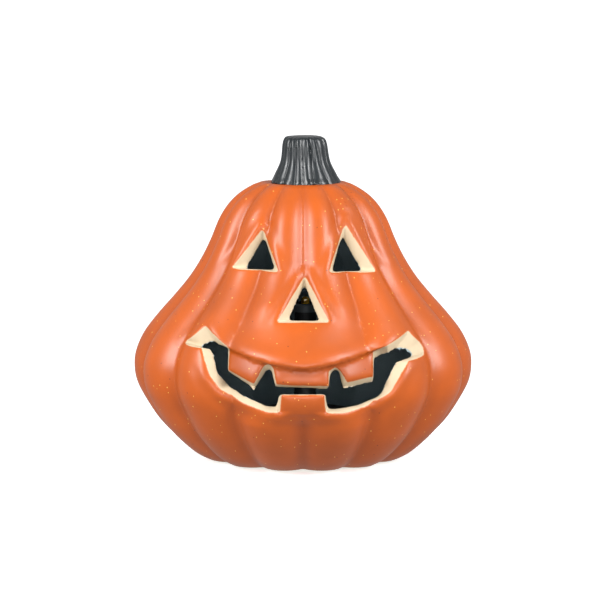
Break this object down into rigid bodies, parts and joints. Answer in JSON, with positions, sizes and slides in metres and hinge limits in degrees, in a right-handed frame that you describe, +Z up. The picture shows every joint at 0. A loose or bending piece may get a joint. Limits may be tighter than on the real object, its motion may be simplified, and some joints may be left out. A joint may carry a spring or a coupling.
{
  "type": "pumpkin lantern figure",
  "caption": "Hollow ribbed ceramic pumpkin with a cut grinning face, a fluted stem and a plug-in battery light in its base.",
  "frame": {"origin": "on the ground under the middle of the figure", "axes": "+Z up, the face looks towards -Y, +X is the viewer's right"},
  "size_m": [0.216, 0.2124, 0.2055],
  "materials": {
    "orange_glaze": "satin speckled orange glaze, cream unglazed cut edges, near-black inside",
    "black_glaze": "glossy black glaze",
    "pad_foam": "black EVA foam pad",
    "ring_foam": "soft black EVA ring",
    "black_abs": "fine textured moulding",
    "grey_abs": "smooth moulding",
    "knob_abs": "smooth moulding",
    "plated_steel": "zinc plated",
    "brass": "turned",
    "nickel_strip": "nickel plated strip",
    "cell_sleeve": "plain printed sleeve on a cell",
    "board_laminate": "green glass-epoxy board",
    "chip_epoxy": "moulded epoxy",
    "lead_red": "PVC insulation",
    "lead_black": "PVC insulation",
    "phosphor": "yellow phosphor resin",
    "clear_lens": "clear moulded dome"
  },
  "bodies": {
    "pumpkin": {"pumpkin_shell": "orange_glaze", "pumpkin_stem": "black_glaze", "foot_pads": "pad_foam"},
    "light_unit": {"base_plate": "black_abs", "light_cup": "black_abs", "grip_ring": "ring_foam", "base_screws": "plated_steel", "board_screws": "plated_steel", "door_screw_insert": "brass", "door_hinge_pin": "plated_steel", "battery_cell_1": "cell_sleeve", "battery_cell_2": "cell_sleeve", "battery_cell_3": "cell_sleeve", "contact_plate_negative": "nickel_strip", "contact_plate_positive": "nickel_strip", "contact_bridges": "nickel_strip", "contact_leaves": "nickel_strip", "switch_body": "plated_steel", "circuit_board": "board_laminate", "timer_chip": "chip_epoxy", "board_resistors": "chip_epoxy", "board_capacitor": "chip_epoxy", "led_lead_red": "lead_red", "led_lead_black": "lead_black", "switch_leads": "lead_black", "lamp_mast": "black_abs", "bulb_collar": "grey_abs", "led_board": "board_laminate", "led_emitter": "phosphor", "bulb_lens": "clear_lens"},
    "battery_door": {"battery_door": "black_abs"},
    "door_screw": {"door_screw": "plated_steel"},
    "switch_knob": {"switch_knob": "knob_abs"}
  },
  "joints": [
    {"name": "light_unit_pull", "type": "slide", "parent": "pumpkin", "child": "light_unit", "axis": [0, 0, -1], "range_m": [0, 0.12]},
    {"name": "battery_door_hinge", "type": "hinge", "parent": "light_unit", "child": "battery_door", "pos_m": [0, 0.01985, 0.0033], "axis": [1, 0, 0], "range_deg": [0, 95]},
    {"name": "door_screw_turn", "type": "hinge", "parent": "battery_door", "child": "door_screw", "pos_m": [0, -0.02125, 0.003], "axis": [0, 0, -1], "continuous": true},
    {"name": "switch_knob_slide", "type": "slide", "parent": "light_unit", "child": "switch_knob", "axis": [1, 0, 0], "range_m": [-0.002, 0.002]}
  ]
}
